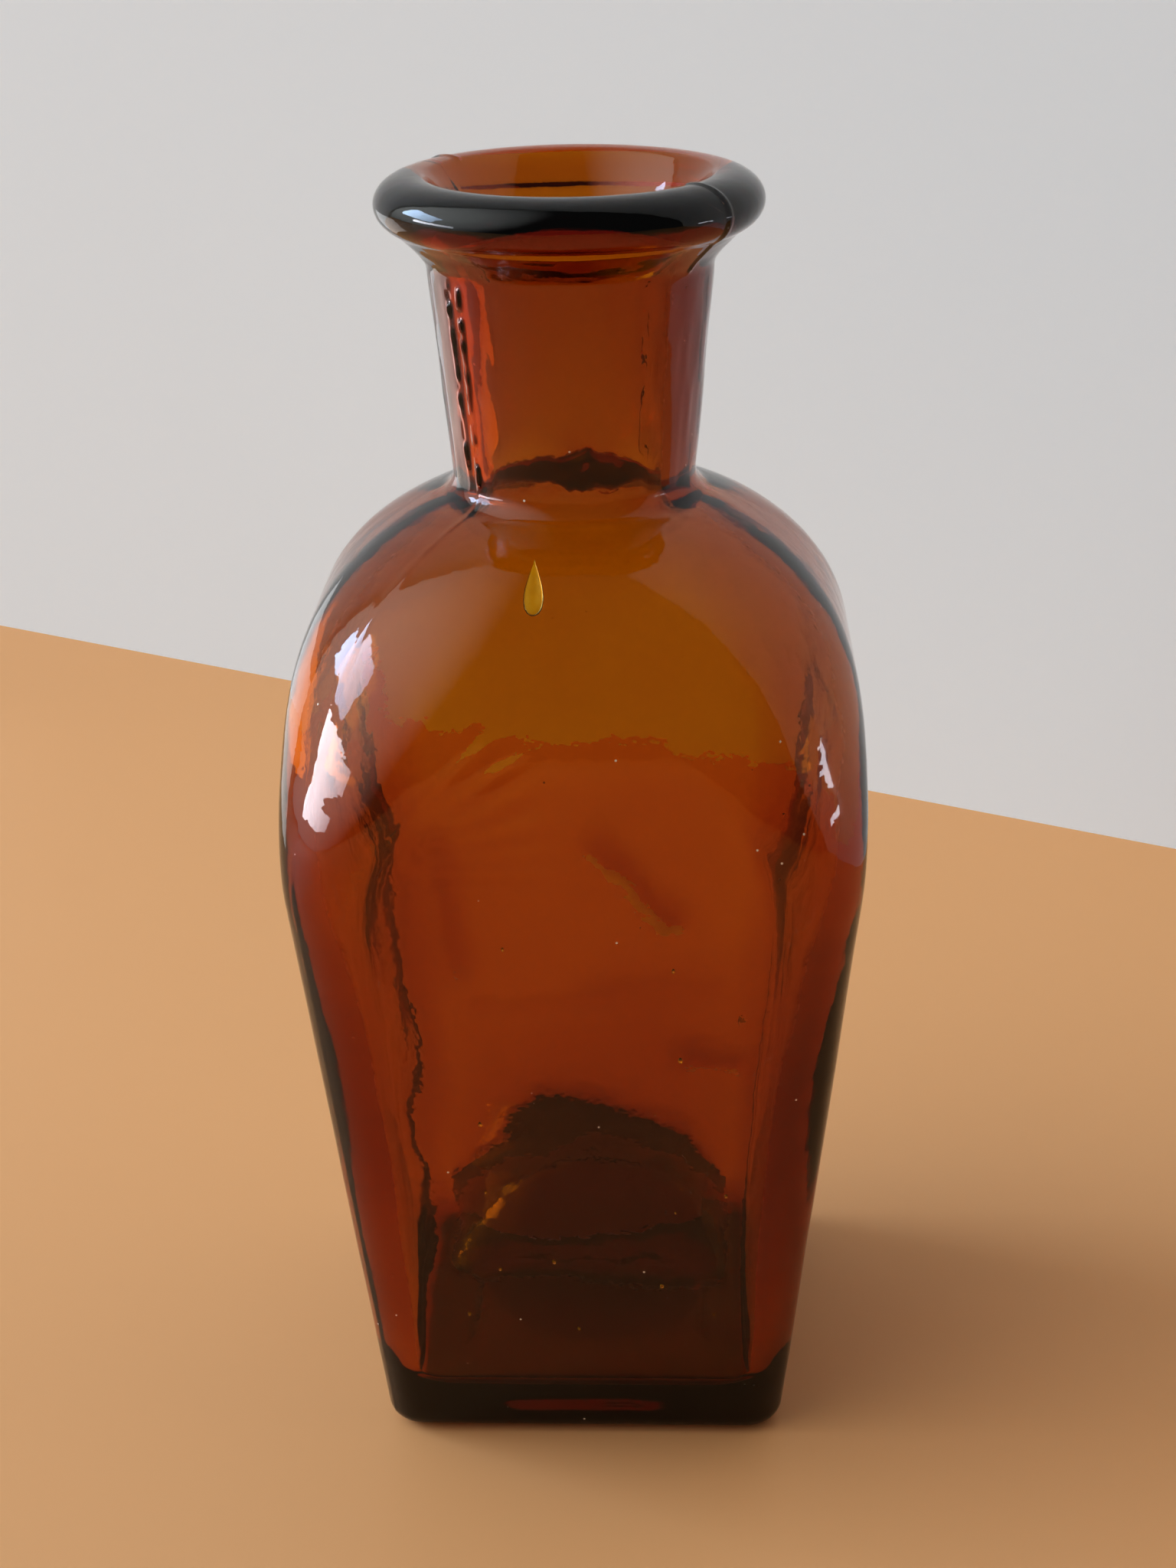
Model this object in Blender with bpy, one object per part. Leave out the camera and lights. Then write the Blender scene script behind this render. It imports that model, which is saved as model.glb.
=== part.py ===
"""Square apothecary bottle of amber glass, one mould-made piece that is open at the mouth.

Units are metres, +Z is up and the origin is the middle of the base, on the surface it stands on. The
outside is a loft: a square with rounded corners widens up to the shoulder, turns into a circle over the
dome, and goes on as a round neck, a flared collar and a thick rolled lip. The inside goes from a mouth
shaped like a bell through a nearly straight bore, and widens again down to the floor. At the foot of the
back the glass is thickest, and lifts the floor.
"""

import math
from collections import namedtuple

import bmesh
import bpy

COLLECTION = "medicine_bottle"
NODE = "bottle"

HEIGHT = 0.230

# Body: half-widths and corner radii at the base plane and at the shoulder line
BASE_HALF, BASE_CORNER = 0.0374, 0.0070
SHOULDER_HALF, SHOULDER_CORNER, SHOULDER_Z = 0.0505, 0.0125, 0.1240
SHOULDER_ROUNDING = 0.0100
HEEL_RADIUS = 0.0040

# Base underside: a flat resting ring round a shallow push-up
RING_INNER_HALF, RING_INNER_CORNER = 0.0265, 0.0120
PUSH_UP_HALF, PUSH_UP_CORNER, PUSH_UP = 0.0200, 0.0150, 0.0022

# Dome: a superellipse in height and width, whose corners swell until the section is round
NECK_Z, NECK_BASE_RADIUS = 0.1765, 0.0209
DOME_HEIGHT_POWER, DOME_WIDTH_POWER = 3.41, 1.16
DOME_CORNER_SWELL = 0.0492
NECK_FILLET = 0.0035

# Neck, collar and lip
NECK_TOP_RADIUS, COLLAR_Z = 0.02435, 0.2155
LIP_RADIUS, LIP_HALF_WIDTH, LIP_HALF_HEIGHT = 0.0264, 0.0063, 0.0048
LIP_START_ANGLE, LIP_END_ANGLE = math.radians(-60), math.radians(110)

# Inside: the wall at the base, at the shoulder line and how much more it is halfway, then the corners
LOW_WALL, WALL, MIDDLE_WALL_SWELL = 0.0044, 0.0040, 0.0020
LOW_CORNER_CHANGE, CORNER_CHANGE = -0.0030, -0.0010
BORE_ROUNDING = 0.0160
SHOULDER_WALL = 0.0032

# Bore and bell-shaped mouth
BORE_BASE_RADIUS, BORE_TOP_RADIUS = 0.0150, 0.0165
BORE_FILLET = 0.0050
BELL_LOW_Z, BELL_BEND_Z = 0.2115, 0.2215

# Floor, and the thick glass at the foot of the back that lifts it
FLOOR_Z, FLOOR_HALF, FLOOR_CORNER = 0.0080, 0.0260, 0.0120
FLOOR_RISE = 0.0060
BACK_LIFT, BACK_LIFT_TOP = 0.0215, 0.0600
BACK_LIFT_HALF_WIDTH, BACK_LIFT_POWER = 0.0285, 0.6
BACK_LIFT_START, BACK_LIFT_RUN = 0.0040, 0.0120

# Mesh density
POINTS_PER_SIDE = 16
BODY_FLAT_SHARE = 1 / 2
HEEL_STEPS, DOME_STEPS, EDGE_STEPS, COLLAR_STEPS, LIP_STEPS = 3, 14, 4, 3, 17
DISC_STEPS, FLOOR_STEPS, WALL_STEPS, BELL_STEPS = 4, 3, 9, 5

GLASS_COLOUR = (0.42, 0.13, 0.02, 1.0)
GLASS_ROUGHNESS = 0.06
GLASS_IOR = 1.5

Section = namedtuple("Section", "z half corner flat_share")


def mix(a, b, t):
    return a + (b - a) * t


def bezier(a, b, c, t):
    """The point at t on the quadratic curve from a to c, drawn towards b; a, b and c are tuples."""
    return tuple(mix(mix(p, q, t), mix(q, r, t), t) for p, q, r in zip(a, b, c))


def steps(count):
    """0 to 1 in count equal steps, both ends included."""
    return [i / count for i in range(count + 1)]


def smooth(t):
    """0 below t = 0 and 1 above t = 1, with an easy slope between."""
    t = min(max(t, 0.0), 1.0)
    return t * t * (3 - 2 * t)


def round_section(z, radius):
    return Section(z, radius, radius, 0.0)


def body_section(z):
    """The tapered square at height z."""
    t = z / SHOULDER_Z
    corner = mix(BASE_CORNER, SHOULDER_CORNER, t)
    return Section(z, mix(BASE_HALF, SHOULDER_HALF, t), corner, BODY_FLAT_SHARE)


def bore_section(z):
    """The body's inside at height z; the wall is thickest halfway up the panels."""
    t = z / SHOULDER_Z
    wall = mix(LOW_WALL, WALL, t) + MIDDLE_WALL_SWELL * math.sin(math.pi * t)
    corner = mix(BASE_CORNER + LOW_CORNER_CHANGE, SHOULDER_CORNER + CORNER_CHANGE, t)
    return Section(z, mix(BASE_HALF, SHOULDER_HALF, t) - wall, corner, BODY_FLAT_SHARE)


def dome_sections(shoulder, top_z, top_radius, swell):
    """Sections from the shoulder line up to a round section, square first and then ever rounder."""
    found = []
    for t in steps(DOME_STEPS)[1:]:
        angle = t * math.pi / 2
        rise = math.sin(angle) ** (2 / DOME_HEIGHT_POWER)
        narrow = math.cos(angle) ** (2 / DOME_WIDTH_POWER) if t < 1 else 0.0
        half = mix(top_radius, shoulder.half, narrow)
        corner = bezier((shoulder.corner,), (swell,), (top_radius,), rise)[0]
        corner = min(corner, half)
        share = BODY_FLAT_SHARE * (half - corner) / (shoulder.half - shoulder.corner)
        found.append(Section(mix(shoulder.z, top_z, rise), half, corner, share))
    return found


def rounded(sections, edge, radius):
    """The sections with those nearer than radius to edge replaced by a curve drawn towards it."""
    k = sections.index(edge)
    far = [math.dist(section[:2], edge[:2]) >= radius for section in sections]
    low = max(i for i in range(k) if far[i])
    high = min(i for i in range(k, len(sections)) if far[i])
    curve = []
    for t in steps(EDGE_STEPS)[1:-1]:
        z, half, corner, share = bezier(sections[low], edge, sections[high], t)
        curve.append(Section(z, half, min(corner, half), share))
    return sections[: low + 1] + curve + sections[high:]


def underside():
    """The base from the edge of the push-up out to the heel."""
    foot = body_section(HEEL_RADIUS)
    found = [
        Section(PUSH_UP * 0.85, PUSH_UP_HALF, PUSH_UP_CORNER, BODY_FLAT_SHARE),
        Section(0.0, RING_INNER_HALF, RING_INNER_CORNER, BODY_FLAT_SHARE),
    ]
    for t in steps(HEEL_STEPS):
        angle = t * math.pi / 2
        inward = HEEL_RADIUS * (1 - math.sin(angle))
        z = HEEL_RADIUS * (1 - math.cos(angle))
        found.append(Section(z, foot.half - inward, foot.corner - inward, BODY_FLAT_SHARE))
    return found


def outer_neck():
    """The neck from just above the dome, the flared collar and the lip, over its crest."""
    taper = (NECK_TOP_RADIUS - NECK_BASE_RADIUS) / (COLLAR_Z - NECK_Z)
    found = [round_section(NECK_Z + NECK_FILLET, NECK_BASE_RADIUS + taper * NECK_FILLET)]
    lip_z = HEIGHT - LIP_HALF_HEIGHT
    lip_low = (
        lip_z + LIP_HALF_HEIGHT * math.sin(LIP_START_ANGLE),
        LIP_RADIUS + LIP_HALF_WIDTH * math.cos(LIP_START_ANGLE),
    )
    collar_low = (COLLAR_Z, NECK_TOP_RADIUS)
    bend = (mix(COLLAR_Z, lip_low[0], 0.5), mix(NECK_TOP_RADIUS, lip_low[1], 0.35))
    for t in steps(COLLAR_STEPS)[:-1]:
        found.append(round_section(*bezier(collar_low, bend, lip_low, t)))
    for t in steps(LIP_STEPS):
        angle = mix(LIP_START_ANGLE, LIP_END_ANGLE, t)
        z = lip_z + LIP_HALF_HEIGHT * math.sin(angle)
        found.append(round_section(z, LIP_RADIUS + LIP_HALF_WIDTH * math.cos(angle)))
    return found


def inner_body():
    """The inside from the middle of the floor up to the shoulder line."""
    floor = [
        Section(FLOOR_Z, FLOOR_HALF * t, FLOOR_CORNER * t, BODY_FLAT_SHARE)
        for t in steps(DISC_STEPS)[1:]
    ]
    walls = [bore_section(mix(FLOOR_Z + FLOOR_RISE, SHOULDER_Z, t)) for t in steps(WALL_STEPS)]
    turn = Section(FLOOR_Z, *walls[0][1:])
    curve = [Section(*bezier(floor[-1], turn, walls[0], t)) for t in steps(FLOOR_STEPS)[1:-1]]
    return floor + curve + walls


def inner_neck():
    """The bore above the inner dome, and the bell up to the inner edge of the lip."""
    base_z = NECK_Z - SHOULDER_WALL
    taper = (BORE_TOP_RADIUS - BORE_BASE_RADIUS) / (BELL_LOW_Z - base_z)
    found = [round_section(base_z + BORE_FILLET, BORE_BASE_RADIUS + taper * BORE_FILLET)]
    low, bend = (BELL_LOW_Z, BORE_TOP_RADIUS), (BELL_BEND_Z, BORE_TOP_RADIUS)
    lip_edge = outer_neck()[-1]
    for t in steps(BELL_STEPS)[:-1]:
        found.append(round_section(*bezier(low, bend, lip_edge[:2], t)))
    return found


def side_point(section, s):
    """(across, outward) for s from -1 to 1 along a side, from corner middle to corner middle."""
    straight = section.half - section.corner
    if abs(s) <= section.flat_share:
        return straight * s / section.flat_share if section.flat_share else 0.0, section.half
    turned = math.radians(45) * (abs(s) - section.flat_share) / (1 - section.flat_share)
    across = straight + section.corner * math.sin(turned)
    return math.copysign(across, s), straight + section.corner * math.cos(turned)


def ring_points(section):
    """The section's outline, anticlockwise from above."""
    points = []
    for quarter in range(4):
        turn = quarter * math.pi / 2
        for i in range(POINTS_PER_SIDE):
            across, outward = side_point(section, 2 * i / POINTS_PER_SIDE - 1)
            x = outward * math.cos(turn) - across * math.sin(turn)
            y = outward * math.sin(turn) + across * math.cos(turn)
            points.append((x, y, section.z))
    return points


def lifted(point):
    """A point of the inside, raised where the glass at the foot of the back is thick."""
    x, y, z = point
    middle = max(0.0, 1 - (x / BACK_LIFT_HALF_WIDTH) ** 2) ** BACK_LIFT_POWER
    outward = smooth((y - BACK_LIFT_START) / BACK_LIFT_RUN)
    low = smooth((BACK_LIFT_TOP - z) / (BACK_LIFT_TOP - FLOOR_Z))
    return x, y, z + BACK_LIFT * middle * outward * low


def loft(name, rings_of_points, first_z, last_z):
    """A closed mesh through the rings, ended by a point on the axis at first_z and at last_z."""
    bm = bmesh.new()
    rings = [[bm.verts.new(point) for point in points] for points in rings_of_points]
    count = len(rings[0])
    ends = bm.verts.new((0, 0, first_z)), bm.verts.new((0, 0, last_z))
    for i in range(count):
        j = (i + 1) % count
        bm.faces.new((ends[0], rings[0][j], rings[0][i]))
        bm.faces.new((ends[1], rings[-1][i], rings[-1][j]))
        for low, high in zip(rings, rings[1:]):
            bm.faces.new((low[i], low[j], high[j], high[i]))
    bmesh.ops.recalc_face_normals(bm, faces=bm.faces)
    mesh = bpy.data.meshes.new(name)
    bm.to_mesh(mesh)
    bm.free()
    mesh.shade_smooth()
    mesh.set_sharp_from_angle(angle=math.radians(40))
    return mesh


def outside():
    panel_top = body_section(SHOULDER_Z - SHOULDER_ROUNDING)
    shoulder = body_section(SHOULDER_Z)
    dome = dome_sections(shoulder, NECK_Z, NECK_BASE_RADIUS, DOME_CORNER_SWELL)
    sections = underside() + [panel_top, shoulder] + dome + outer_neck()
    return rounded(rounded(sections, shoulder, SHOULDER_ROUNDING), dome[-1], NECK_FILLET)


def inside():
    body = inner_body()
    swell = DOME_CORNER_SWELL - WALL
    dome = dome_sections(body[-1], NECK_Z - SHOULDER_WALL, BORE_BASE_RADIUS, swell)
    sections = body + dome + inner_neck()
    return rounded(rounded(sections, body[-1], BORE_ROUNDING), dome[-1], BORE_FILLET)


def amber_glass():
    material = bpy.data.materials.new("amber_glass")
    material.use_nodes = True
    shader = material.node_tree.nodes["Principled BSDF"]
    shader.inputs["Base Color"].default_value = GLASS_COLOUR
    shader.inputs["Roughness"].default_value = GLASS_ROUGHNESS
    shader.inputs["Metallic"].default_value = 0.0
    shader.inputs["IOR"].default_value = GLASS_IOR
    shader.inputs["Transmission Weight"].default_value = 1.0
    return material


def main():
    for obj in list(bpy.data.objects):
        bpy.data.objects.remove(obj, do_unlink=True)
    collection = bpy.data.collections.new(COLLECTION)
    bpy.context.scene.collection.children.link(collection)
    outer = [ring_points(section) for section in outside()]
    inner = [[lifted(point) for point in ring_points(section)] for section in inside()[::-1]]
    bottle = bpy.data.objects.new(NODE, loft(NODE, outer + inner, PUSH_UP, FLOOR_Z))
    bottle.data.materials.append(amber_glass())
    collection.objects.link(bottle)


main()
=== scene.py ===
"""Looks of the square amber bottle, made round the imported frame. Metres, +Z up, the bottle's front faces -Y.

The glass is one closed skin, lofted like the CAD solid but finely enough for what moulding leaves behind:
seams, chill waves, uneven walls, folds in the back wall and bubbles caught in the melt.
"""

import math
from collections import namedtuple

import bpy
import numpy as np
from mathutils import Matrix, Vector


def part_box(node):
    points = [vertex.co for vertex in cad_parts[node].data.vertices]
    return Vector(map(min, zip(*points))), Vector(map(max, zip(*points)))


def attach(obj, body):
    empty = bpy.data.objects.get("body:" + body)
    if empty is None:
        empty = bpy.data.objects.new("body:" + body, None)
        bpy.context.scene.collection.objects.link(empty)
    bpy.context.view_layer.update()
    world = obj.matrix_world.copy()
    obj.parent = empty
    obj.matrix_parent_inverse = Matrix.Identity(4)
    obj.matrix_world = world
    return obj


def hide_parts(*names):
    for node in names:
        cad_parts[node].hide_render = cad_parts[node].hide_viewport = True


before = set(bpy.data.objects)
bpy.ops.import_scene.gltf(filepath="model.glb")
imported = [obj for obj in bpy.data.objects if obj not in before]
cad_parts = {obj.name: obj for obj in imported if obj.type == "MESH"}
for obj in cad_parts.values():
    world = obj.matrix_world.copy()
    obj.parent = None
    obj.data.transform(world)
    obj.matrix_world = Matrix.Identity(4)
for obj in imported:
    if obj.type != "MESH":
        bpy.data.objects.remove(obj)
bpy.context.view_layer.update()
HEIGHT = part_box("bottle")[1].z

# ---- The bottle's form, the same values as its CAD solid
BASE_HALF, BASE_CORNER = 0.0374, 0.0070
SHOULDER_HALF, SHOULDER_CORNER, SHOULDER_Z = 0.0505, 0.0125, 0.1240
SHOULDER_ROUNDING = 0.0100
HEEL_RADIUS = 0.0040
RING_INNER_HALF, RING_INNER_CORNER = 0.0265, 0.0120
PUSH_UP_HALF, PUSH_UP_CORNER, PUSH_UP = 0.0200, 0.0150, 0.0022
NECK_Z, NECK_BASE_RADIUS = 0.1765, 0.0209
DOME_HEIGHT_POWER, DOME_WIDTH_POWER = 3.41, 1.16
DOME_CORNER_SWELL = 0.0492
NECK_FILLET = 0.0035
NECK_TOP_RADIUS, COLLAR_Z = 0.02435, 0.2155
LIP_RADIUS, LIP_HALF_WIDTH, LIP_HALF_HEIGHT = 0.0264, 0.0063, 0.0048
LIP_START_ANGLE, LIP_END_ANGLE = math.radians(-60), math.radians(110)
LOW_WALL, WALL, MIDDLE_WALL_SWELL = 0.0044, 0.0040, 0.0020
LOW_CORNER_CHANGE, CORNER_CHANGE = -0.0030, -0.0010
BORE_ROUNDING = 0.0160
BORE_BASE_RADIUS, BORE_TOP_RADIUS = 0.0150, 0.0165
BELL_LOW_Z, BELL_BEND_Z = 0.2115, 0.2215
SHOULDER_WALL = 0.0032
BORE_FILLET = 0.0050
FLOOR_Z, FLOOR_HALF, FLOOR_CORNER = 0.0080, 0.0260, 0.0120
FLOOR_RISE = 0.0060
BACK_LIFT, BACK_LIFT_TOP = 0.0215, 0.0600
BACK_LIFT_HALF_WIDTH, BACK_LIFT_POWER = 0.0285, 0.6
BACK_LIFT_START, BACK_LIFT_RUN = 0.0040, 0.0120

# ---- What moulding leaves on the outside. A seam is the azimuth of its plane from the front in degrees, its
# height, its width, how far its height is even and uneven, and the size and seed of the waves that vary it.
BODY_SEAM = (-46, 0.00012, 0.00060, 0.6, 0.4, 0.0030, 3)
NECK_SEAMS = ((-47, 0.00045, 0.00050, 0.6, 1.2, 0.0018, 21), (-54, 0.00040, 0.00050, 0.6, 1.2, 0.0022, 24))
LIP_LAP_AZIMUTH, LIP_LAP_HEIGHT, LIP_LAP_WIDTH = 54, 0.00035, 0.00040
COLLAR_LINE_HEIGHT, COLLAR_LINE_WIDTH = 0.00012, 0.0004
FAN_X, FAN_Z, FAN_HEIGHT = -0.0350, 0.1250, 0.00028
FAN_RIDGES_PER_RADIAN, FAN_WANDER = 38, 2.5

# ---- What it leaves on the inside
SIDE_THINNING, SIDE_THINNING_TOP, SIDE_THINNING_RUN = 0.0018, 0.090, 0.060
KNEE_Z, KNEE_HALF_HEIGHT, KNEE_AZIMUTH, KNEE_HALF_ANGLE = 0.1765, 0.0055, 0.10, 0.42
KNEE_SWELL, KNEE_SHRINK = 0.0028, 0.0024
# Each fold in the back wall: its two ends as x and z, its width and its height.
FOLDS = (
    ((0.002, 0.086), (0.016, 0.070), 0.0028, 0.0032),
    ((0.019, 0.040), (0.030, 0.037), 0.0026, 0.0030),
    ((-0.031, 0.084), (-0.028, 0.062), 0.0032, 0.0026),
    ((-0.024, 0.051), (0.024, 0.052), 0.0024, 0.0008),
)

# ---- Bubbles in the glass
LONG_BUBBLE_CENTRE, LONG_BUBBLE_ALONG = (-0.0055, -0.0335, 0.1683), (0, 0.80, 0.60)
LONG_BUBBLE_OUT = (0, -0.60, 0.80)
LONG_BUBBLE_LENGTH, LONG_BUBBLE_WIDTH, LONG_BUBBLE_DEPTH, LONG_BUBBLE_POINT = 0.0110, 0.0047, 0.0006, 0.75
SEED_COUNT, SEED_HALF_SPREAD, SEED_STRETCH = 14, 0.03, 1.6
SEED_LOW_Z, SEED_HIGH_Z, SEED_LEAST, SEED_MOST = 0.02, 0.11, 3e-4, 8e-4

# ---- Mesh density
POINTS_PER_SIDE = 96
BODY_FLAT_SHARE = 0.62
BUBBLE_RINGS = 16
UNDERSIDE_STEPS, HEEL_STEPS, BODY_STEPS, DOME_STEPS, EDGE_STEPS = 6, 8, 130, 80, 16
NECK_STEPS, COLLAR_STEPS, LIP_STEPS, BELL_STEPS, FLOOR_STEPS, DISC_STEPS = 90, 12, 34, 26, 16, 24

# ---- Camera: where it stands from the bottle's axis, and how it is held
CAMERA_DISTANCE, CAMERA_HEIGHT = 0.3984, 0.2950
CAMERA_ROUND = math.radians(2.57)
CAMERA_YAW = math.radians(-0.20)
CAMERA_PITCH = math.radians(23.89)
CAMERA_ROLL = math.radians(-1.03)
CAMERA_LENS = 54.1

Section = namedtuple("Section", "z half corner flat_share")


def mix(a, b, t):
    return a + (b - a) * t


def bezier(a, b, c, t):
    """The point at t on the quadratic curve from a to c, drawn towards b."""
    return tuple(mix(mix(p, q, t), mix(q, r, t), t) for p, q, r in zip(a, b, c))


def steps(count):
    return [i / count for i in range(count + 1)]


def round_section(z, radius):
    return Section(z, radius, radius, 0.0)


def body_section(z):
    t = z / SHOULDER_Z
    corner = mix(BASE_CORNER, SHOULDER_CORNER, t)
    return Section(z, mix(BASE_HALF, SHOULDER_HALF, t), corner, BODY_FLAT_SHARE)


def bore_section(z):
    """The body's inside at height z: the wall is thickest halfway up, and the corners thicken upwards."""
    t = z / SHOULDER_Z
    half = mix(BASE_HALF - LOW_WALL, SHOULDER_HALF - WALL, t) - MIDDLE_WALL_SWELL * math.sin(math.pi * t)
    corner = mix(BASE_CORNER + LOW_CORNER_CHANGE, SHOULDER_CORNER + CORNER_CHANGE, t)
    return Section(z, half, corner, BODY_FLAT_SHARE)


def body_run(section, low_z, high_z):
    return [section(mix(low_z, high_z, t)) for t in steps(BODY_STEPS)]


def dome_sections(shoulder, top_z, top_radius, swell):
    found = []
    for t in steps(DOME_STEPS)[1:]:
        angle = t * math.pi / 2
        rise = math.sin(angle) ** (2 / DOME_HEIGHT_POWER)
        narrow = math.cos(angle) ** (2 / DOME_WIDTH_POWER) if t < 1 else 0.0
        half = mix(top_radius, shoulder.half, narrow)
        corner = min(bezier((shoulder.corner,), (swell,), (top_radius,), rise)[0], half)
        share = BODY_FLAT_SHARE * (half - corner) / (shoulder.half - shoulder.corner)
        found.append(Section(mix(shoulder.z, top_z, rise), half, corner, share))
    return found


def rounded(sections, edge, radius):
    """The sections with those nearer than radius to edge replaced by a curve drawn towards it."""
    k = sections.index(edge)
    far = [math.dist(section[:2], edge[:2]) >= radius for section in sections]
    low = max(i for i in range(k) if far[i])
    high = min(i for i in range(k, len(sections)) if far[i])
    curve = []
    for t in steps(EDGE_STEPS)[1:-1]:
        z, half, corner, share = bezier(sections[low], edge, sections[high], t)
        curve.append(Section(z, half, min(corner, half), share))
    return sections[: low + 1] + curve + sections[high:]


def disc(edge, centre_z):
    """Sections from near the axis out to edge, rounder towards the middle."""
    found = []
    for t in steps(DISC_STEPS)[1:-1]:
        half = edge.half * t
        corner = min(half, mix(half, edge.corner, t))
        share = edge.flat_share * (half - corner) / (edge.half - edge.corner)
        found.append(Section(mix(centre_z, edge.z, t * t), half, corner, share))
    return found


def underside():
    foot = body_section(HEEL_RADIUS)
    push = Section(PUSH_UP * 0.85, PUSH_UP_HALF, PUSH_UP_CORNER, BODY_FLAT_SHARE)
    ring = Section(0.0, RING_INNER_HALF, RING_INNER_CORNER, BODY_FLAT_SHARE)
    found = disc(push, PUSH_UP)
    for t in steps(UNDERSIDE_STEPS):
        ease = t * t * (3 - 2 * t)
        found.append(Section(mix(push.z, 0.0, ease), *(mix(a, b, t) for a, b in zip(push[1:], ring[1:]))))
    for t in steps(HEEL_STEPS):
        angle = t * math.pi / 2
        inward = HEEL_RADIUS * (1 - math.sin(angle))
        z = HEEL_RADIUS * (1 - math.cos(angle))
        found.append(Section(z, foot.half - inward, foot.corner - inward, BODY_FLAT_SHARE))
    return found


def neck_and_lip():
    taper = (NECK_TOP_RADIUS - NECK_BASE_RADIUS) / (COLLAR_Z - NECK_Z)
    low_z = NECK_Z + NECK_FILLET
    found = [
        round_section(z, NECK_BASE_RADIUS + taper * (z - NECK_Z))
        for z in (mix(low_z, COLLAR_Z, t) for t in steps(NECK_STEPS)[:-1])
    ]
    lip_z = HEIGHT - LIP_HALF_HEIGHT
    lip_low = (
        lip_z + LIP_HALF_HEIGHT * math.sin(LIP_START_ANGLE),
        LIP_RADIUS + LIP_HALF_WIDTH * math.cos(LIP_START_ANGLE),
    )
    collar_low = (COLLAR_Z, NECK_TOP_RADIUS)
    bend = (mix(COLLAR_Z, lip_low[0], 0.5), mix(NECK_TOP_RADIUS, lip_low[1], 0.35))
    for t in steps(COLLAR_STEPS)[:-1]:
        found.append(round_section(*bezier(collar_low, bend, lip_low, t)))
    for t in steps(LIP_STEPS):
        angle = mix(LIP_START_ANGLE, LIP_END_ANGLE, t)
        z = lip_z + LIP_HALF_HEIGHT * math.sin(angle)
        found.append(round_section(z, LIP_RADIUS + LIP_HALF_WIDTH * math.cos(angle)))
    return found


def outside():
    body = body_run(body_section, HEEL_RADIUS, SHOULDER_Z)
    shoulder = body[-1]
    dome = dome_sections(shoulder, NECK_Z, NECK_BASE_RADIUS, DOME_CORNER_SWELL)
    sections = underside() + body[1:] + dome + neck_and_lip()
    return rounded(rounded(sections, shoulder, SHOULDER_ROUNDING), dome[-1], NECK_FILLET)


def inside():
    """From the middle of the floor up to the mouth."""
    body = body_run(bore_section, FLOOR_Z + FLOOR_RISE, SHOULDER_Z)
    floor_edge = Section(FLOOR_Z, FLOOR_HALF, FLOOR_CORNER, BODY_FLAT_SHARE)
    turn = Section(FLOOR_Z, *body[0][1:])
    bowl = [Section(*bezier(floor_edge, turn, body[0], t)) for t in steps(FLOOR_STEPS)[:-1]]
    swell = DOME_CORNER_SWELL - WALL
    dome = dome_sections(body[-1], NECK_Z - SHOULDER_WALL, BORE_BASE_RADIUS, swell)
    bore = [
        round_section(mix(dome[-1].z, BELL_LOW_Z, t), mix(BORE_BASE_RADIUS, BORE_TOP_RADIUS, t))
        for t in steps(NECK_STEPS)[1:-1]
    ]
    lip = neck_and_lip()[-1]
    bell_low, bend = (BELL_LOW_Z, BORE_TOP_RADIUS), (BELL_BEND_Z, BORE_TOP_RADIUS)
    bore += [round_section(*bezier(bell_low, bend, lip[:2], t)) for t in steps(BELL_STEPS)[:-1]]
    sections = disc(floor_edge, FLOOR_Z) + bowl + body + dome + bore
    return rounded(rounded(sections, body[-1], BORE_ROUNDING), dome[-1], BORE_FILLET)


def ring_points(section):
    """The section's outline as rows of x, y, z, anticlockwise from above, crowded towards the corners."""
    s = 2 * np.arange(POINTS_PER_SIDE) / POINTS_PER_SIDE - 1
    straight = section.half - section.corner
    share = max(section.flat_share, 1e-6)
    turned = math.radians(45) * np.clip((np.abs(s) - share) / (1 - share), 0, 1)
    bent = np.sign(s) * (straight + section.corner * np.sin(turned))
    across = np.where(np.abs(s) <= share, straight * s / share, bent)
    outward = straight + section.corner * np.cos(turned)
    z = np.full_like(s, section.z)
    sides = []
    for quarter in range(4):
        c, w = math.cos(quarter * math.pi / 2), math.sin(quarter * math.pi / 2)
        sides.append(np.stack([outward * c - across * w, outward * w + across * c, z], 1))
    return np.concatenate(sides)


def waves(points, size, seed):
    """Smooth random values from -1 to 1 at the points, with features about size across."""
    lattice = np.random.default_rng(seed).uniform(-1, 1, (24, 24, 24))
    scaled = points / size + 1000.5
    cell = np.floor(scaled).astype(int)
    f = scaled - cell
    f = f * f * f * (f * (6 * f - 15) + 10)
    total = np.zeros(points.shape[:-1])
    for dx in (0, 1):
        for dy in (0, 1):
            for dz in (0, 1):
                weight = np.ones(points.shape[:-1])
                for axis, d in enumerate((dx, dy, dz)):
                    weight = weight * (f[..., axis] if d else 1 - f[..., axis])
                corner = (cell + (dx, dy, dz)) % 24
                total += weight * lattice[corner[..., 0], corner[..., 1], corner[..., 2]]
    return total


def grid_normals(grid):
    """Outward normals of a grid of rings, by differences along and round them."""
    along = np.gradient(grid, axis=0)
    round_ = np.roll(grid, -1, axis=1) - np.roll(grid, 1, axis=1)
    normals = np.cross(round_, along)
    return normals / np.maximum(np.linalg.norm(normals, axis=2, keepdims=True), 1e-12)


def smooth(t):
    """0 below t = 0 and 1 above t = 1, with an easy slope between."""
    t = np.clip(t, 0, 1)
    return t * t * (3 - 2 * t)


def window(z, low, high, soft):
    """1 between low and high, easing to 0 over soft at each end."""
    return smooth(np.clip((z - low) / soft, 0, 1) * np.clip((high - z) / soft, 0, 1))


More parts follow.
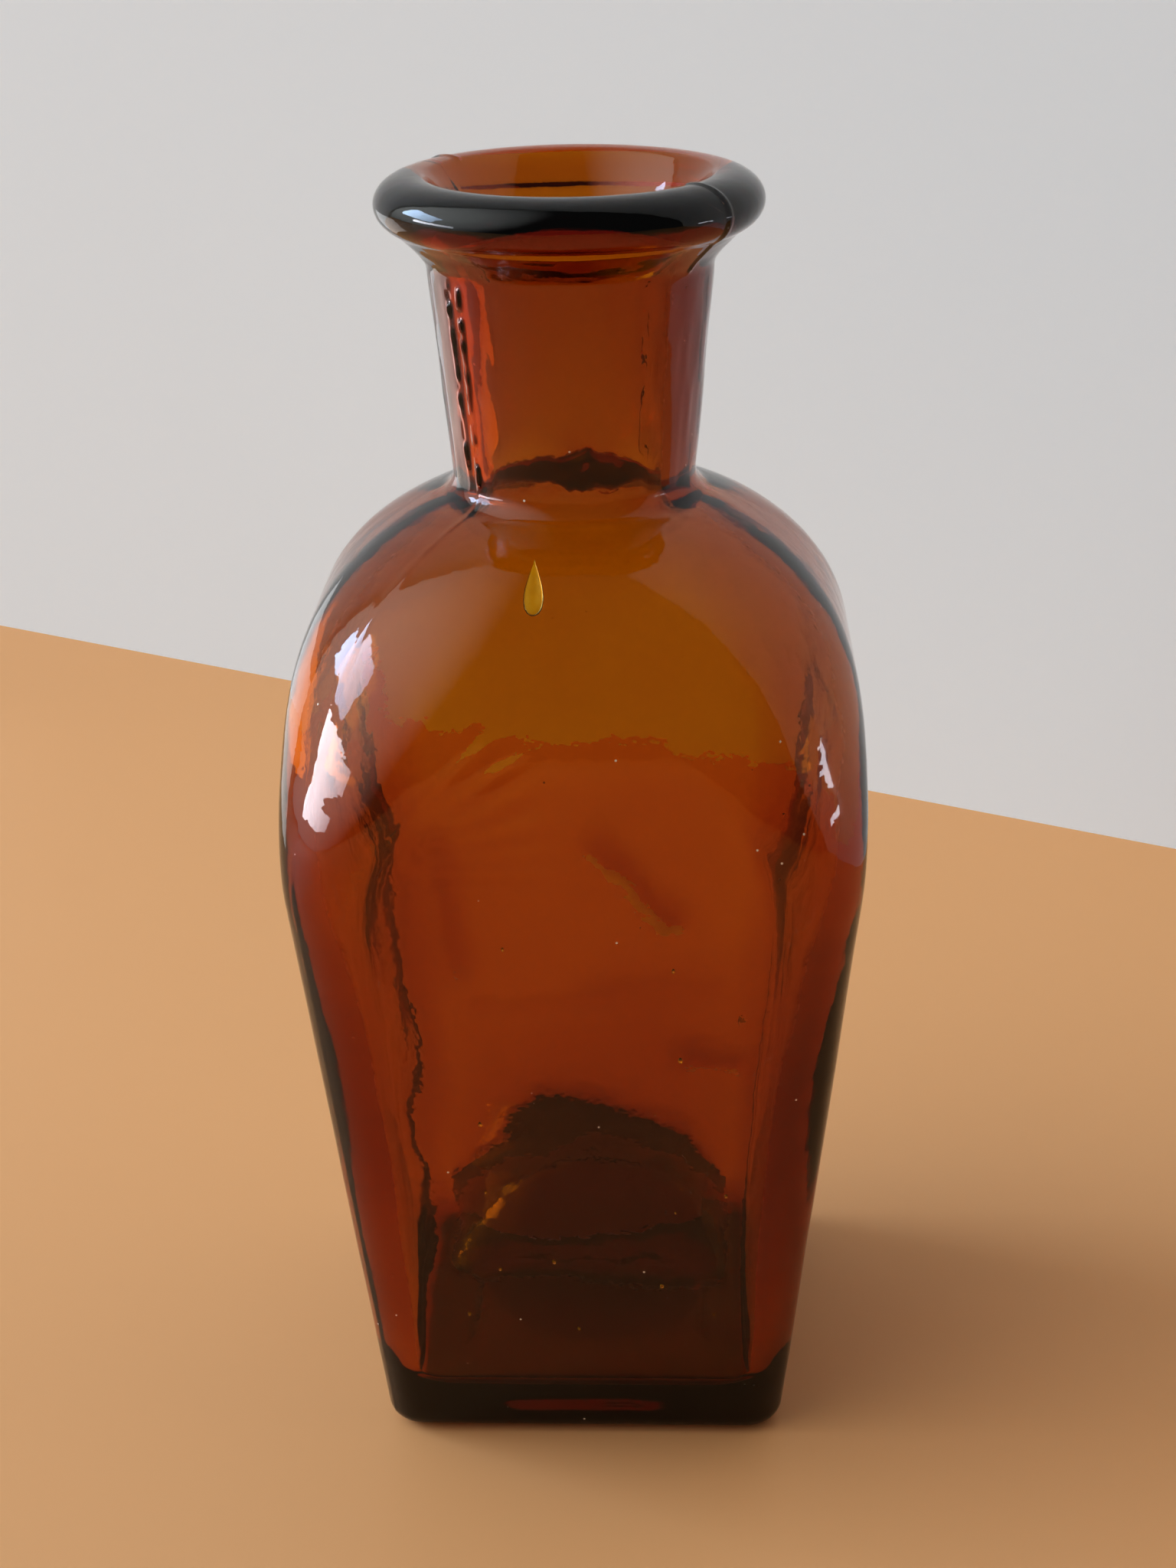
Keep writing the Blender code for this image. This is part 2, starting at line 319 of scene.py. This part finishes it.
def seam(grid, azimuth, height, width):
    """A raised line where two halves of a mould meet, in the upright plane at azimuth from the front."""
    a = math.radians(azimuth)
    off_plane = grid[..., 0] * math.cos(a) + grid[..., 1] * math.sin(a)
    return height * np.exp(-((off_plane / width) ** 2))


def uneven_seam(grid, azimuth, height, width, even, uneven, size, seed):
    return seam(grid, azimuth, height, width) * (even + uneven * waves(grid, size, seed))


def fold(grid, start, end, width, height):
    """A fold from start to end, each an x and z, in the back wall's inside."""
    start, end = np.array(start), np.array(end)
    points = grid[..., [0, 2]] - start
    t = np.clip(points @ (end - start) / np.dot(end - start, end - start), 0, 1)
    away = np.linalg.norm(points - t[..., None] * (end - start), axis=-1)
    ragged = 0.8 + 0.3 * waves(grid, 0.0070, 31)
    return height * ragged * np.exp(-((away / width) ** 2)) * (grid[..., 1] > 0.02)


def fan(grid):
    """Chill wrinkles that spread over the front from the left of the shoulder."""
    across, up = grid[..., 0] - FAN_X, grid[..., 2] - FAN_Z
    away = np.hypot(across, up)
    angle = np.arctan2(up, across)
    ridges = np.sin(FAN_RIDGES_PER_RADIAN * angle + FAN_WANDER * waves(grid, 0.009, 41))
    spread = window(away, 0.003, 0.036, 0.008) * window(angle, -0.25, 0.95, 0.25)
    return FAN_HEIGHT * ridges * spread * (grid[..., 1] < -0.03)


def relief_outside(grid):
    z = grid[..., 2]
    mould = window(z, 0.001, COLLAR_Z - 0.001, 0.002)
    neck = window(z, NECK_Z + 0.001, COLLAR_Z, 0.003)
    upright = grid * (1, 1, 0.22)
    relief = uneven_seam(grid, *BODY_SEAM) * mould
    for neck_seam in NECK_SEAMS:
        relief += uneven_seam(grid, *neck_seam) * neck
    relief += 0.00010 * waves(upright, 0.0024, 22) * neck
    lap = seam(grid, LIP_LAP_AZIMUTH, LIP_LAP_HEIGHT, LIP_LAP_WIDTH)
    relief += lap * window(z, COLLAR_Z, HEIGHT + 0.01, 0.001)
    relief += COLLAR_LINE_HEIGHT * np.exp(-(((z - COLLAR_Z) / COLLAR_LINE_WIDTH) ** 2))
    relief += 0.00012 * waves(grid * (1, 1, 2.5), 0.0050, 23) * window(z, COLLAR_Z, 0.2215, 0.002)
    relief += 0.00006 * waves(grid, 0.012, 5) * window(z, 0.004, COLLAR_Z, 0.01)
    relief += 0.00010 * waves(grid, 0.030, 6) * window(z, 0.004, COLLAR_Z, 0.01)
    return relief + fan(grid)


def knee(grid):
    """The inner wall behind the neck's foot: it swells in the middle and draws back at its sides."""
    round_back = np.arctan2(grid[..., 0], grid[..., 1]) - KNEE_AZIMUTH
    bulge = np.exp(-((round_back / KNEE_HALF_ANGLE) ** 2))
    swell = KNEE_SWELL * bulge * (1 + 0.4 * waves(grid, 0.0030, 14))
    near = np.exp(-(((grid[..., 2] - KNEE_Z) / KNEE_HALF_HEIGHT) ** 2)) * smooth(grid[..., 1] / 0.004)
    return near * (swell - KNEE_SHRINK * (1 - bulge))


def side_thinning(grid):
    x, y, z = np.abs(grid[..., 0]), np.abs(grid[..., 1]), grid[..., 2]
    low = smooth((SIDE_THINNING_TOP - z) / SIDE_THINNING_RUN) * smooth((z - 0.012) / 0.006)
    return SIDE_THINNING * smooth((x - y) / 0.010) * low


def relief_inside(grid):
    z = grid[..., 2]
    body = window(z, 0.012, 0.150, 0.02)
    relief = 0.00045 * waves(grid, 0.026, 11) * body
    relief += 0.00014 * waves(grid * (1, 1, 0.6), 0.010, 12) * body
    relief += 0.00004 * waves(grid, 0.0045, 13) * window(z, 0.010, 0.205, 0.02)
    relief += knee(grid) - side_thinning(grid)
    for ends_and_size in FOLDS:
        relief += fold(grid, *ends_and_size)
    return relief


def back_lift(grid):
    """How far the thick glass at the foot of the back lifts the inside."""
    x, y, z = grid[..., 0], grid[..., 1], grid[..., 2]
    middle = np.clip(1 - (x / BACK_LIFT_HALF_WIDTH) ** 2, 0, 1) ** BACK_LIFT_POWER
    outward = smooth((y - BACK_LIFT_START) / BACK_LIFT_RUN)
    return BACK_LIFT * middle * outward * smooth((BACK_LIFT_TOP - z) / (BACK_LIFT_TOP - FLOOR_Z))


def bubbles():
    """One long bubble in the front of the dome, its tail up, and small seeds in the front panel."""
    found = [bubble(LONG_BUBBLE_CENTRE, LONG_BUBBLE_ALONG, LONG_BUBBLE_OUT, LONG_BUBBLE_LENGTH,
                    LONG_BUBBLE_WIDTH, LONG_BUBBLE_DEPTH, LONG_BUBBLE_POINT)]
    chance = np.random.default_rng(51)
    places_x = chance.uniform(-SEED_HALF_SPREAD, SEED_HALF_SPREAD, SEED_COUNT)
    places_z = chance.uniform(SEED_LOW_Z, SEED_HIGH_Z, SEED_COUNT)
    sizes = chance.uniform(SEED_LEAST, SEED_MOST, SEED_COUNT)
    for x, z, size in zip(places_x, places_z, sizes):
        middle = (body_section(z).half + bore_section(z).half) / 2
        found.append(bubble((x, -middle, z), (0, 0, 1), (0, -1, 0), size * SEED_STRETCH, size, size, 0.0))
    return found


def glass_mesh():
    outer = np.array([ring_points(section) for section in outside()])
    inner = np.array([ring_points(section) for section in inside()])[::-1]
    outer = outer + grid_normals(outer) * relief_outside(outer)[..., None]
    inner[..., 2] += back_lift(inner)
    inner = inner + grid_normals(inner) * relief_inside(inner)[..., None]
    grid = np.concatenate([outer, inner])
    ring_count, count = grid.shape[:2]
    points = np.concatenate([grid.reshape(-1, 3), [[0, 0, PUSH_UP], [0, 0, FLOOR_Z]]])
    i = np.arange(count)
    j = (i + 1) % count
    faces = []
    for k in range(ring_count - 1):
        low, high = k * count, (k + 1) * count
        faces.extend(np.stack([low + i, low + j, high + j, high + i], 1).tolist())
    last = (ring_count - 1) * count
    underside_middle, floor_middle = ring_count * count, ring_count * count + 1
    faces.extend([[underside_middle, b, a] for a, b in zip(i.tolist(), j.tolist())])
    faces.extend([[floor_middle, last + a, last + b] for a, b in zip(i.tolist(), j.tolist())])
    points = points.tolist()
    for rings, ends in bubbles():
        start, count = len(points), rings.shape[1]
        points.extend(rings.reshape(-1, 3).tolist() + [end.tolist() for end in ends])
        low_end, high_end = len(points) - 2, len(points) - 1
        top = high_end - 1 - count
        for a in range(count):
            b = (a + 1) % count
            faces.append([low_end, start + a, start + b])
            faces.append([high_end, top + b, top + a])
            for low in range(start, top, count):
                faces.append([low + a, low + count + a, low + count + b, low + b])
    mesh = bpy.data.meshes.new("bottle_glass")
    mesh.from_pydata(points, [], faces)
    mesh.update()
    mesh.shade_smooth()
    return mesh


def bubble(centre, along, out, length, width, depth, point):
    """The rings and two ends of a void: an ellipsoid that draws out to a tail as point goes from 0 to 1."""
    along, out = np.array(along) / np.linalg.norm(along), np.array(out) / np.linalg.norm(out)
    side = np.cross(along, out)
    u = np.linspace(0, math.pi, BUBBLE_RINGS + 2)[1:-1, None]
    v = np.linspace(0, 2 * math.pi, BUBBLE_RINGS, endpoint=False)[None, :]
    wide = np.sin(u) * np.cos(u / 2) ** (2 * point)
    parts = ((along, -np.cos(u) * length / 2 + 0 * v), (side, wide * np.cos(v) * width / 2),
             (out, wide * np.sin(v) * depth / 2))
    rings = sum(axis * size[..., None] for axis, size in parts) + centre
    ends = [centre - along * length / 2, centre + along * length / 2]
    return rings, ends


def noise(nodes, links, place, scale, detail, low, high):
    """A noise of about 1 / scale metres, stretched so that low gives 0 and high gives 1."""
    texture = nodes.new("ShaderNodeTexNoise")
    texture.inputs["Scale"].default_value = scale
    texture.inputs["Detail"].default_value = detail
    links.new(place, texture.inputs["Vector"])
    stretch = nodes.new("ShaderNodeMapRange")
    stretch.inputs["From Min"].default_value = low
    stretch.inputs["From Max"].default_value = high
    links.new(texture.outputs["Fac"], stretch.inputs["Value"])
    return stretch


def specks(nodes, links, place, scale, size, kept):
    """1 on a scatter of dust specks, one in each of the share of cells that is kept."""
    cells = nodes.new("ShaderNodeTexVoronoi")
    cells.inputs["Scale"].default_value = scale
    links.new(place, cells.inputs["Vector"])
    near = nodes.new("ShaderNodeMath")
    near.operation = "LESS_THAN"
    near.inputs[1].default_value = size
    links.new(cells.outputs["Distance"], near.inputs[0])
    split = nodes.new("ShaderNodeSeparateColor")
    links.new(cells.outputs["Color"], split.inputs["Color"])
    chosen = nodes.new("ShaderNodeMath")
    chosen.operation = "LESS_THAN"
    chosen.inputs[1].default_value = kept
    links.new(split.outputs["Red"], chosen.inputs[0])
    both = nodes.new("ShaderNodeMath")
    both.operation = "MULTIPLY"
    links.new(near.outputs["Value"], both.inputs[0])
    links.new(chosen.outputs["Value"], both.inputs[1])
    return both


def amber_glass():
    """Clear amber glass, faintly uneven, with smears that dull its gloss and pale dust caught on it."""
    material = bpy.data.materials.new("amber_glass")
    material.use_nodes = True
    nodes, links = material.node_tree.nodes, material.node_tree.links
    place = nodes.new("ShaderNodeTexCoord").outputs["Object"]
    shader = nodes["Principled BSDF"]
    shader.inputs["IOR"].default_value = 1.5
    dust = specks(nodes, links, place, 260, 0.055, 0.10).outputs["Value"]
    colour = nodes.new("ShaderNodeMix")
    colour.data_type = "RGBA"
    colour.inputs["A"].default_value = (1, 1, 1, 1)
    colour.inputs["B"].default_value = (0.75, 0.68, 0.58, 1)
    links.new(dust, colour.inputs["Factor"])
    links.new(colour.outputs["Result"], shader.inputs["Base Color"])
    clear = nodes.new("ShaderNodeMath")
    clear.operation = "SUBTRACT"
    clear.inputs[0].default_value = 1.0
    links.new(dust, clear.inputs[1])
    links.new(clear.outputs["Value"], shader.inputs["Transmission Weight"])
    smears = noise(nodes, links, place, 45, 5, 0.52, 0.75)
    smears.inputs["To Min"].default_value = 0.0
    smears.inputs["To Max"].default_value = 0.07
    links.new(smears.outputs["Result"], shader.inputs["Roughness"])
    uneven = noise(nodes, links, place, 160, 3, 0.0, 1.0)
    bump = nodes.new("ShaderNodeBump")
    bump.inputs["Strength"].default_value = 1.0
    bump.inputs["Distance"].default_value = 0.00008
    links.new(uneven.outputs["Result"], bump.inputs["Height"])
    links.new(bump.outputs["Normal"], shader.inputs["Normal"])
    absorb = nodes.new("ShaderNodeVolumeAbsorption")
    absorb.inputs["Color"].default_value = (0.918, 0.786, 0.0, 1)
    absorb.inputs["Density"].default_value = 1000
    links.new(absorb.outputs["Volume"], nodes["Material Output"].inputs["Volume"])
    return material


def plain(name, colour, roughness):
    material = bpy.data.materials.new(name)
    material.use_nodes = True
    shader = material.node_tree.nodes["Principled BSDF"]
    shader.inputs["Base Color"].default_value = (*colour, 1)
    shader.inputs["Roughness"].default_value = roughness
    return material


def sheet(name, corners, material):
    """A flat stage piece through four corners."""
    mesh = bpy.data.meshes.new(name)
    mesh.from_pydata(corners, [], [(0, 1, 2, 3)])
    obj = bpy.data.objects.new(name, mesh)
    mesh.materials.append(material)
    bpy.context.scene.collection.objects.link(obj)
    return obj


def make_stage():
    sheet("floor", [(-3, -3, -0.0002), (3, -3, -0.0002), (3, 3, -0.0002), (-3, 3, -0.0002)],
          plain("floor_paint", (0.82, 0.425, 0.180), 0.6))
    turn = math.radians(-26)
    along = Vector((math.cos(turn), math.sin(turn), 0)) * 3
    foot = Vector((0, 0.30, -0.001))
    top = Vector((0, 0, 3))
    sheet("backdrop", [foot - along, foot + along, foot + along + top, foot - along + top],
          plain("backdrop_paint", (0.84, 0.91, 0.94), 0.8))


def area_light(name, place, aim, size, power, colour, spread=180):
    data = bpy.data.lights.new(name, "AREA")
    data.shape = "RECTANGLE"
    data.size, data.size_y = size
    data.energy = power
    data.color = colour
    data.spread = math.radians(spread)
    obj = bpy.data.objects.new(name, data)
    obj.location = place
    obj.rotation_mode = "QUATERNION"
    obj.rotation_quaternion = (Vector(aim) - Vector(place)).to_track_quat("-Z", "Y")
    bpy.context.scene.collection.objects.link(obj)


def make_light():
    """A dim room, brighter to the upper left, a window there in two parts, and two small edge lights."""
    world = bpy.data.worlds.new("room")
    bpy.context.scene.world = world
    world.use_nodes = True
    nodes, links = world.node_tree.nodes, world.node_tree.links
    direction = nodes.new("ShaderNodeTexCoord")
    leftward = nodes.new("ShaderNodeVectorMath")
    leftward.operation = "DOT_PRODUCT"
    leftward.inputs[1].default_value = (-0.85, 0.0, 0.53)
    ramp = nodes.new("ShaderNodeValToRGB")
    ramp.color_ramp.elements[0].position = 0.60
    ramp.color_ramp.elements[0].color = (0.085, 0.085, 0.085, 1)
    ramp.color_ramp.elements[1].position = 1.0
    ramp.color_ramp.elements[1].color = (1.80, 1.88, 1.87, 1)
    links.new(direction.outputs["Generated"], leftward.inputs[0])
    links.new(leftward.outputs["Value"], ramp.inputs["Fac"])
    links.new(ramp.outputs["Color"], nodes["Background"].inputs["Color"])
    nodes["Background"].inputs["Strength"].default_value = 1.0
    aim = (0.3, -1.4, 0.0)
    area_light("window_high", (-2.95, 0.35, 1.42), aim, (1.70, 1.00), 15.0, (0.50, 0.70, 1.0), 90)
    area_light("window_low", (-3.10, -0.50, 0.54), aim, (1.90, 0.34), 7.0, (0.88, 0.90, 1.0), 90)
    aim = (0.0, 0.0, 0.15)
    area_light("card_left", (-0.31, 0.27, 0.088), aim, (0.24, 0.16), 0.040, (0.94, 0.97, 1.0), 100)
    area_light("window_right", (0.60, -0.05, 0.20), (0, 0, 0.14), (0.15, 0.022), 0.08, (0.80, 0.88, 1.0))


def make_camera():
    camera = bpy.data.objects.new("camera", bpy.data.cameras.new("camera"))
    camera.data.lens = CAMERA_LENS
    camera.data.sensor_width = 36
    across, back = math.sin(CAMERA_ROUND), math.cos(CAMERA_ROUND)
    place = Vector((CAMERA_DISTANCE * across, -CAMERA_DISTANCE * back, CAMERA_HEIGHT))
    turn = (
        Matrix.Rotation(CAMERA_ROUND + CAMERA_YAW, 4, "Z")
        @ Matrix.Rotation(math.pi / 2 - CAMERA_PITCH, 4, "X")
        @ Matrix.Rotation(CAMERA_ROLL, 4, "Z")
    )
    camera.matrix_world = Matrix.Translation(place) @ turn
    bpy.context.scene.collection.objects.link(camera)
    bpy.context.scene.camera = camera


glass = bpy.data.objects.new("bottle_glass", glass_mesh())
glass.data.materials.append(amber_glass())
bpy.context.scene.collection.objects.link(glass)
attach(glass, "root")
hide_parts("bottle")
make_stage()
make_light()
make_camera()
bpy.context.scene.view_settings.view_transform = "Standard"
bpy.context.scene.view_settings.look = "Medium High Contrast"
